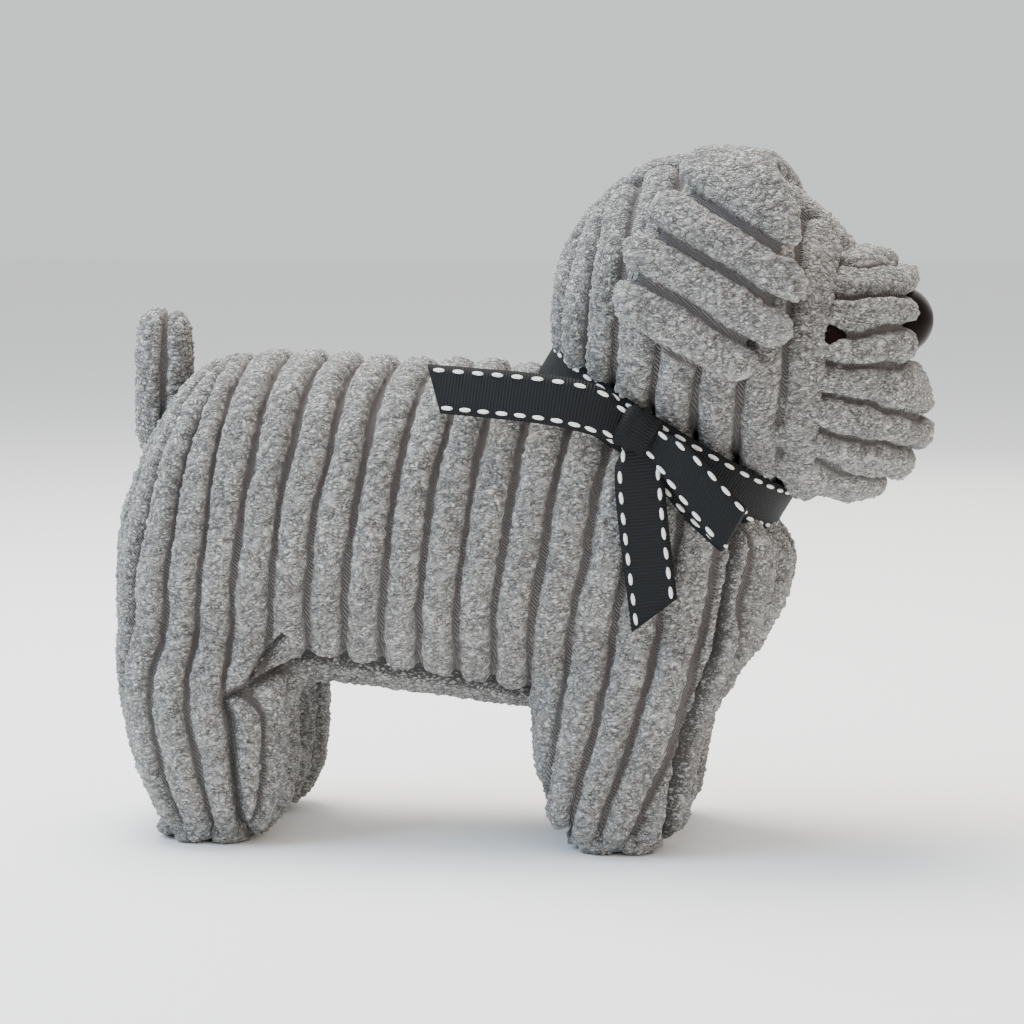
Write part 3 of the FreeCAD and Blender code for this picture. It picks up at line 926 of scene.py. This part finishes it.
class DOG_OT_muzzle(bpy.types.Operator):
    """Builds the stuffed muzzle and its beard"""

    bl_idname = "dog.muzzle"
    bl_label = "Muzzle"

    def execute(self, context):
        muzzle = loft("muzzle", refine(muzzle_rings(), 3))
        even_skin(muzzle, 2.6, 4)
        fine_skin(muzzle, 2)
        middle = node_box("nose")[0]

        def seat(points):
            near = np.hypot((points[:, 1] - middle[1]) / 12.0, (points[:, 2] - middle[2]) / 9.5)
            return np.where(points[:, 0] > 112.0, np.abs(near - 0.95) * 11.0, FAR_OFF)

        raise_pile(muzzle, muzzle_ribs, seat, pitch=11.6, groove_at=0.0, rise=1.1, wander=3.2, seed=71)
        finish_pile(muzzle, "head", ["muzzle_cover", "muzzle_stuffing"])
        return {"FINISHED"}


class DOG_OT_fittings(bpy.types.Operator):
    """Finishes the moulded nose, the eyes and their washers"""

    bl_idname = "dog.fittings"
    bl_label = "Nose and eyes"

    def execute(self, context):
        finishes = {name: "gloss_moulded_plastic" for name in ("nose", "eye_right", "eye_left")}
        for name in ("nose_washer", "eye_washer_right", "eye_washer_left"):
            finishes[name] = "washer_plastic"
        for name, finish in finishes.items():
            slots = frame["nodes"][name].data.materials
            slots.clear()
            slots.append(bpy.data.materials[finish])
        return {"FINISHED"}


# Ears and tail.


def ear_rings(side):
    """An ear's flat ovals, from its seam on the crown down to its tip."""
    stations = [
        (203.5, 57, 77, 18.5, 5.0),
        (207.0, 56, 78, 23.0, 6.5),
        (208.8, 55, 79, 29.0, 7.0),
        (208.6, 54.5, 80, 35.0, 7.0),
        (206.0, 53, 82, 41.0, 7.2),
        (201, 50, 85, 46.5, 7.5),
        (192, 43, 88.5, 51.0, 8.0),
        (182, 38, 89.5, 53.0, 8.2),
        (172, 35, 89, 54.5, 8.2),
        (164, 36, 86.5, 55.0, 8.0),
        (157, 42, 82, 55.0, 7.5),
        (151.5, 50, 75, 54.5, 6.5),
        (148.5, 56, 69, 53.5, 4.0),
    ]
    rings = []
    middles = np.array([(station[3], station[0]) for station in stations])
    runs = np.gradient(middles, axis=0)
    for (z, left, right, out, thick), run in zip(stations, runs):
        # Each oval's thin way points straight out of the ear.
        away = np.array([0.0, -side * run[1], run[0]]) / np.hypot(*run)
        centre = ((left + right) / 2, side * out, z)
        rings.append(
            oval(centre, ALONG, away, (right - left) / 2 - 1.5, thick / 2, 2.6)
        )
    return rings


def ear_ribs(points):
    """Place across the ear's slanting ribs."""
    return np.minimum(0.5 * points[:, 0] + 0.866 * points[:, 2], 208.0)


class DOG_OT_ears(bpy.types.Operator):
    """Builds the two flopped ears"""

    bl_idname = "dog.ears"
    bl_label = "Ears"

    def execute(self, context):
        for side_name, side in SIDES.items():
            ear = loft("ear_" + side_name + "_pad", refine(ear_rings(side), 3))
            even_skin(ear, 2.4, 3)
            fine_skin(ear, 2)
            # Each rib's ends stand out past the grooves beside it.
            points = read_points(ear)
            run = np.array([0.866, 0.0, -0.5])
            wave = -np.cos((ear_ribs(points) - 188.0) / 14.3 * 2 * math.pi)
            along = (points - [62.0, 0.0, 180.0]) @ run
            reach = np.sign(along) * ease_between(np.abs(along), 12.0, 24.0) * wave * 2.4
            write_points(ear, points + reach[:, None] * run)
            raise_pile(ear, ear_ribs, no_seam, pitch=14.3, groove_at=188.0, rise=1.1, seed=91 + side)
            nodes = ["ear_outer_" + side_name, "ear_lining_" + side_name]
            finish_pile(ear, None, nodes)
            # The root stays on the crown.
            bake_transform(ear)
        return {"FINISHED"}


class DOG_OT_tail(bpy.types.Operator):
    """Builds the short upright tail"""

    bl_idname = "dog.tail"
    bl_label = "Tail"

    def execute(self, context):
        stations = [
            (116, -113, 5.5, 5.5),
            (122, -116, 7.0, 7.0),
            (130, -116.5, 8.8, 8.2),
            (138, -115.5, 9.8, 8.5),
            (148, -114.4, 9.4, 8.5),
            (157, -114.4, 8.8, 8.0),
            (161.5, -114, 7.0, 6.5),
            (163.5, -113.8, 4.0, 4.0),
        ]
        rings = []
        for z, x, half_length, half_width in stations:
            rings.append(oval((x, 0, z), ALONG, ACROSS, half_length - 1.6, half_width - 1.6, 2.3, 32))
        tail = loft("tail_tube", refine(rings, 3))
        even_skin(tail, 1.9, 3)
        fine_skin(tail, 2)
        raise_pile(tail, along_dog, no_seam, pitch=11.0, groove_at=-113.2, rise=0.75, seed=121)
        finish_pile(tail, "tail", ["tail_cover_right", "tail_cover_left", "tail_stuffing"])
        return {"FINISHED"}


# The ribbon.

STRIP_LANES = 6
# One stitch: its rings' places along it, from -0.5 to 0.5, and the points in each ring.
STITCH_RINGS = (-0.5, -0.42, -0.2, 0.0, 0.2, 0.42, 0.5)
STITCH_SIDES = 8
STITCH_HALF_RISE = 0.5
# A row of stitches lies this share of the ribbon's width from its middle line.
STITCH_ROW = 0.4


def lengths_along(path):
    """Each point's distance from the path's start."""
    steps = np.linalg.norm(np.diff(path, axis=0), axis=1)
    return np.concatenate([[0.0], np.cumsum(steps)])


def strip(name, path, acrosses, widths, closed=False, cut=0.0):
    """A woven strip along path: acrosses points over its width at each place, and cut is how far
    its last end slants per share of the width. Its map holds metres across and along."""
    ribbon = bpy.context.scene.dog_ribbon
    half_thick = ribbon.thickness / MM / 2
    path = np.asarray(path, float)
    count = len(path)
    lanes = STRIP_LANES
    ahead = np.roll(path, -1, axis=0) - np.roll(path, 1, axis=0)
    if not closed:
        ahead[0] = path[1] - path[0]
        ahead[-1] = path[-1] - path[-2]
    ahead /= np.linalg.norm(ahead, axis=1)[:, None]
    along = lengths_along(path)
    points = []
    across_map = []
    along_map = []
    for index in range(count):
        out = np.cross(ahead[index], acrosses[index])
        out /= np.linalg.norm(out)
        for face in (1, -1):
            for lane in range(lanes + 1):
                share = lane / lanes - 0.5
                share = share if face > 0 else -share
                inner = half_thick * face * (1 if abs(share) < 0.5 else 0.5)
                slant = cut * share * (along[index] / along[-1]) ** 3
                spot = path[index] + acrosses[index] * share * widths[index] + out * inner
                points.append(spot + ahead[index] * slant)
                across_map.append(share * widths[index] * MM)
                along_map.append((along[index] + slant) * MM)
    ring = 2 * (lanes + 1)
    faces = []
    last = count if closed else count - 1
    for index in range(last):
        here = index * ring
        there = ((index + 1) % count) * ring
        for corner in range(ring):
            after = (corner + 1) % ring
            faces.append((here + corner, here + after, there + after, there + corner))
    if not closed:
        for start, order in ((0, -1), ((count - 1) * ring, 1)):
            for lane in range(lanes):
                quad = (start + lane, start + lane + 1, start + ring - 2 - lane, start + ring - 1 - lane)
                faces.append(quad if order > 0 else quad[::-1])
    obj = object_from(name, points, faces)
    layer = obj.data.uv_layers.new(name="ribbon")
    whole = (along[-1] + np.linalg.norm(path[0] - path[-1])) * MM if closed else None
    for polygon in obj.data.polygons:
        for corner in polygon.loop_indices:
            vertex = obj.data.loops[corner].vertex_index
            v = along_map[vertex]
            if closed and polygon.index // ring == count - 1 and vertex < ring:
                v = whole
            layer.data[corner].uv = (across_map[vertex], v)
    face_outwards(obj)
    return obj


def stitches(name, path, acrosses, widths, faces=(1, -1), closed=False, cut=0.0):
    """Saddle stitches in two rows along a strip, on the given faces."""
    ribbon = bpy.context.scene.dog_ribbon
    pitch = ribbon.stitch_pitch / MM
    length = ribbon.stitch_length / MM
    width = ribbon.stitch_width / MM
    inset = ribbon.stitch_inset / MM
    thick = ribbon.thickness / MM
    full_width = ribbon.width / MM
    sides = STITCH_SIDES
    path = np.asarray(path, float)
    if closed:
        path = np.vstack([path, path[:1]])
        acrosses = np.vstack([acrosses, acrosses[:1]])
        widths = np.append(widths, widths[0])
    along = lengths_along(path)
    points = []
    quads = []
    places = []
    for row in (-1, 1):
        slanted = along + cut * row * STITCH_ROW * (along / along[-1]) ** 3
        number = int((slanted[-1] - 1.0) / pitch)
        for index in range(number):
            middle = float(np.interp((index + 0.5) * slanted[-1] / number, slanted, along))
            places.append((index, row, middle, cut * row * STITCH_ROW * (middle / along[-1]) ** 3))
    for index, row, middle, slant in places:
        spots = []
        for place in (middle - 0.3, middle, middle + 0.3):
            spots.append([np.interp(place, along, path[:, axis]) for axis in range(3)])
        spots = np.array(spots)
        forward = spots[2] - spots[0]
        forward /= np.linalg.norm(forward)
        over = np.array([np.interp(middle, along, np.asarray(acrosses)[:, axis]) for axis in range(3)])
        over -= forward * (over @ forward)
        over /= np.linalg.norm(over)
        out = np.cross(forward, over)
        wide = np.interp(middle, along, widths)
        for face in faces:
            side = row * (wide / 2 - inset * wide / full_width)
            base = spots[1] + over * side + out * face * thick * 0.42 + forward * slant
            start = len(points)
            # No two stitches beside each other lie quite the same way.
            wobble = 0.12 * math.sin(7.3 * index + 2.1 * row + face)
            for share in STITCH_RINGS:
                size = max(max(0.0, 1 - (abs(share) / 0.5) ** 2.6) ** 0.5, 0.12)
                for turn in range(sides):
                    angle = 2 * math.pi * turn / sides
                    point = base + forward * share * length
                    point = point + over * (math.cos(angle) * width / 2 * size + wobble * share)
                    point = point + out * face * math.sin(angle) * STITCH_HALF_RISE * size
                    points.append(point)
            for near in range(start, len(points) - sides, sides):
                for turn in range(sides):
                    after = (turn + 1) % sides
                    quads.append((near + turn, near + after, near + sides + after, near + sides + turn))
            quads.append(tuple(range(start, start + sides)))
            quads.append(tuple(range(len(points) - sides, len(points))))
    obj = object_from(name, points, quads)
    face_outwards(obj)
    obj.data.materials.append(bpy.data.materials["cotton_saddle_thread"])
    return obj


def curve_through(points, steps=12):
    """A smooth path through given points."""
    return np.array(refine([np.array(point, float) for point in points], steps))


def spread(values, count):
    """Values given at even places along a path, eased to count places."""
    return np.interp(np.linspace(0, 1, count), np.linspace(0, 1, len(values)), values)


def spread_vectors(vectors, count):
    """Unit vectors given at even places along a path, eased to count places."""
    vectors = np.array(vectors, float)
    result = np.stack([spread(vectors[:, axis], count) for axis in range(3)], axis=1)
    return result / np.linalg.norm(result, axis=1)[:, None]


def finish_ribbon(obj, thread, body, node):
    """Material and body of one stretch of ribbon with its stitches; the CAD node it replaces is hidden."""
    obj.data.materials.append(bpy.data.materials["black_grosgrain"])
    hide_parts(node)
    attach(obj, body)
    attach(thread, body)


def loose_strip(name, node, path, acrosses, widths, cut=0.0):
    """A stretch of ribbon from the knot, on the body named like its CAD node."""
    end = strip(name, path, acrosses, widths, cut=cut)
    thread = stitches(name + "_stitches", path, acrosses, widths, cut=cut)
    finish_ribbon(end, thread, node, node)


class DOG_OT_ribbon(bpy.types.Operator):
    """Ties the ribbon: collar, knot, loop and two free ends"""

    bl_idname = "dog.ribbon"
    bl_label = "Ribbon"

    def execute(self, context):
        ribbon = context.scene.dog_ribbon
        width = ribbon.width / MM
        middle = node_box("ribbon_knot")[0]
        # The collar.
        centre = NECK - NECK_AXIS * (width / 2 + 1.6)
        turns = 96
        path = oval(centre, NECK_FORWARD, ACROSS, 43.6, 39.9, 2.2, turns)
        acrosses = np.tile(NECK_AXIS, (turns, 1))
        widths = np.full(turns, width)
        collar = strip("collar_band", path, acrosses, widths, closed=True)
        thread = stitches("collar_stitches", path, acrosses, widths, faces=(1,), closed=True)
        finish_ribbon(collar, thread, "body", "ribbon_collar")
        # The end that hangs.
        top = middle + [0.4, -1.6, -4.0]
        path = curve_through([top, top + [0.6, -1.8, -9], top + [2.0, -1.6, -24], top + [5.2, 0.2, -51]])
        count = len(path)
        acrosses = spread_vectors([[0.99, 0.0, 0.1], [0.98, 0.05, 0.12], [0.98, -0.04, 0.1],
                                   [0.98, -0.08, 0.12]], count)
        widths = spread([8.0, 14.0, width, width, width, width], count)
        loose_strip("hanging_end", "ribbon_hanging_end", path, acrosses, widths, -9.0)
        # The end that points back.
        top = middle + [-4.0, -1.8, 1.5]
        path = curve_through([top, top + [-9, -2.4, 5.2], top + [-24, -1.6, 8.2], top + [-58, 6.0, 10.5]])
        acrosses = spread_vectors([[0.35, 0.1, 0.93], [0.2, 0.12, 0.97], [0.1, 0.25, 0.96],
                                   [0.08, 0.35, 0.93]], count)
        loose_strip("back_end", "ribbon_back_end", path, acrosses, widths, 6.5)
        # The loop, folded over at its far corner.
        top = middle + [4.0, -1.6, -2.0]
        far = top + [24.5, -2.6, -25.0]
        path = curve_through([top + [0, -0.6, 0], top + [8, -4.2, -6.5], top + [17, -5.2, -16.5],
                              far + [0, -2.4, 0], far + [1.2, 0.3, -1.2], far + [-0.6, 2.4, -1.0],
                              top + [15, 2.0, -18.5], top + [6, 1.0, -9.0], top + [-1, 0.4, -1.0]], 8)
        count = len(path)
        acrosses = spread_vectors([[0.35, -0.05, 0.93], [0.45, -0.03, 0.89], [0.49, 0, 0.87],
                                   [0.49, 0, 0.87], [0.35, 0.05, 0.93]], count)
        widths = spread([7.5, 13.0, width, width, width, width, width, 13.0, 7.5], count)
        loose_strip("bow_loop", "ribbon_loop", path, acrosses, widths)
        # The knot: the strip wrapped once over the rest, gathered into folds.
        turns = 40
        path = oval(middle, NECK_AXIS, ACROSS, 6.3, 4.0, 2.6, turns)
        knot = strip("knot_wrap", path, np.tile(NECK_FORWARD, (turns, 1)), np.full(turns, 12.0), closed=True)
        points = read_points(knot)
        share = (points - middle) @ NECK_FORWARD
        outward = points - middle - np.outer(share, NECK_FORWARD)
        reach = np.maximum(np.linalg.norm(outward, axis=1), 0.1)
        pinch = 0.55 * np.cos(share * 1.5) - 0.02 * share ** 2
        write_points(knot, points + outward / reach[:, None] * pinch[:, None])
        knot.data.materials.append(bpy.data.materials["black_grosgrain"])
        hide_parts("ribbon_knot")
        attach(knot, "body")
        return {"FINISHED"}


# The stage, in metres: a cool window behind the dog and a weak warm card before its face.

LIGHTS = [
    ("key_window", (-1.0, -0.55, 1.0), 0.8, 17.0, "#BEDCFB"),
    ("fill_card", (0.95, -0.75, 0.55), 0.9, 2.6, "#FFC48C"),
    ("top_card", (-0.25, 0.2, 1.2), 0.8, 31.0, "#FFFCF6"),
    ("back_card", (0.3, 1.0, 0.7), 0.9, 5.0, "#FFF8F0"),
]
LIGHT_AIM = Vector((0.0, 0.0, 0.11))
FLOOR_SIZE = 14.0
CAMERA_AZIMUTH_DEG = 8.0
CAMERA_ELEVATION_DEG = 6.0
CAMERA_TARGET = Vector((-0.003, 0.0, 0.101))
CAMERA_LENS = 111.9


def area_light(name, place, size, watts, colour):
    """One soft square light, turned to the dog."""
    bpy.ops.object.light_add(type="AREA", location=place)
    light = bpy.context.object
    light.name = name
    light.data.energy = watts
    light.data.size = size
    light.data.color = linear(colour)[:3]
    light.rotation_euler = (LIGHT_AIM - Vector(place)).to_track_quat("-Z", "Y").to_euler()


class DOG_OT_stage(bpy.types.Operator):
    """Sets the floor, soft lights and camera"""

    bl_idname = "dog.stage"
    bl_label = "Stage"

    def execute(self, context):
        clean_selection()
        bpy.ops.mesh.primitive_plane_add(size=1.0, location=(0, 0, 0))
        floor = context.object
        floor.name = "studio_floor"
        bpy.ops.object.mode_set(mode="EDIT")
        bpy.ops.mesh.select_all(action="SELECT")
        bpy.ops.transform.resize(value=(FLOOR_SIZE, FLOOR_SIZE, 1.0))
        bpy.ops.mesh.subdivide(number_cuts=6)
        bpy.ops.object.mode_set(mode="OBJECT")
        floor.data.materials.append(bpy.data.materials["pale_studio_card"])
        world = bpy.data.worlds.new("studio_air")
        world.use_nodes = True
        world.node_tree.nodes["Background"].inputs["Color"].default_value = linear("#F4F6F8")
        world.node_tree.nodes["Background"].inputs["Strength"].default_value = 1.0
        context.scene.world = world
        for light in LIGHTS:
            area_light(*light)
        azimuth = math.radians(CAMERA_AZIMUTH_DEG)
        elevation = math.radians(CAMERA_ELEVATION_DEG)
        # One metre from the target, so this is also the camera's offset.
        away = Vector((math.sin(azimuth) * math.cos(elevation), -math.cos(azimuth) * math.cos(elevation),
                       math.sin(elevation)))
        bpy.ops.object.camera_add(location=CAMERA_TARGET + away)
        camera = context.object
        camera.name = "camera"
        camera.rotation_euler = (-away).to_track_quat("-Z", "Y").to_euler()
        camera.data.sensor_width = 36.0
        camera.data.lens = CAMERA_LENS
        camera.data.clip_end = 50.0
        context.scene.camera = camera
        return {"FINISHED"}


class DOG_PT_panel(bpy.types.Panel):
    """Lists the steps in order"""

    bl_idname = "DOG_PT_panel"
    bl_label = "Plush Dog"
    bl_space_type = "VIEW_3D"
    bl_region_type = "UI"
    bl_category = "Plush Dog"

    def draw(self, context):
        for group in (context.scene.dog_pile, context.scene.dog_ribbon, context.scene.dog_fittings):
            for key in group.bl_rna.properties.keys():
                if key not in ("rna_type", "name"):
                    self.layout.prop(group, key)
        for step in STEPS:
            self.layout.operator(step.bl_idname)


STEPS = [
    DOG_OT_materials,
    DOG_OT_stage,
    DOG_OT_body,
    DOG_OT_soles,
    DOG_OT_head,
    DOG_OT_muzzle,
    DOG_OT_fittings,
    DOG_OT_ears,
    DOG_OT_tail,
    DOG_OT_ribbon,
]
GROUPS = {"dog_pile": PileSettings, "dog_ribbon": RibbonSettings, "dog_fittings": FittingSettings}


def register():
    """Registers the settings, steps and panel."""
    for name, group in GROUPS.items():
        bpy.utils.register_class(group)
        setattr(bpy.types.Scene, name, bpy.props.PointerProperty(type=group))
    for step in STEPS:
        bpy.utils.register_class(step)
    bpy.utils.register_class(DOG_PT_panel)


def unregister():
    """Removes what register added."""
    bpy.utils.unregister_class(DOG_PT_panel)
    for step in reversed(STEPS):
        bpy.utils.unregister_class(step)
    for name, group in GROUPS.items():
        delattr(bpy.types.Scene, name)
        bpy.utils.unregister_class(group)


def main():
    """Builds the dog."""
    register()
    for step in STEPS:
        area, name = step.bl_idname.split(".")
        getattr(getattr(bpy.ops, area), name)()
    bpy.context.view_layer.update()


if __name__ == "__main__":
    main()
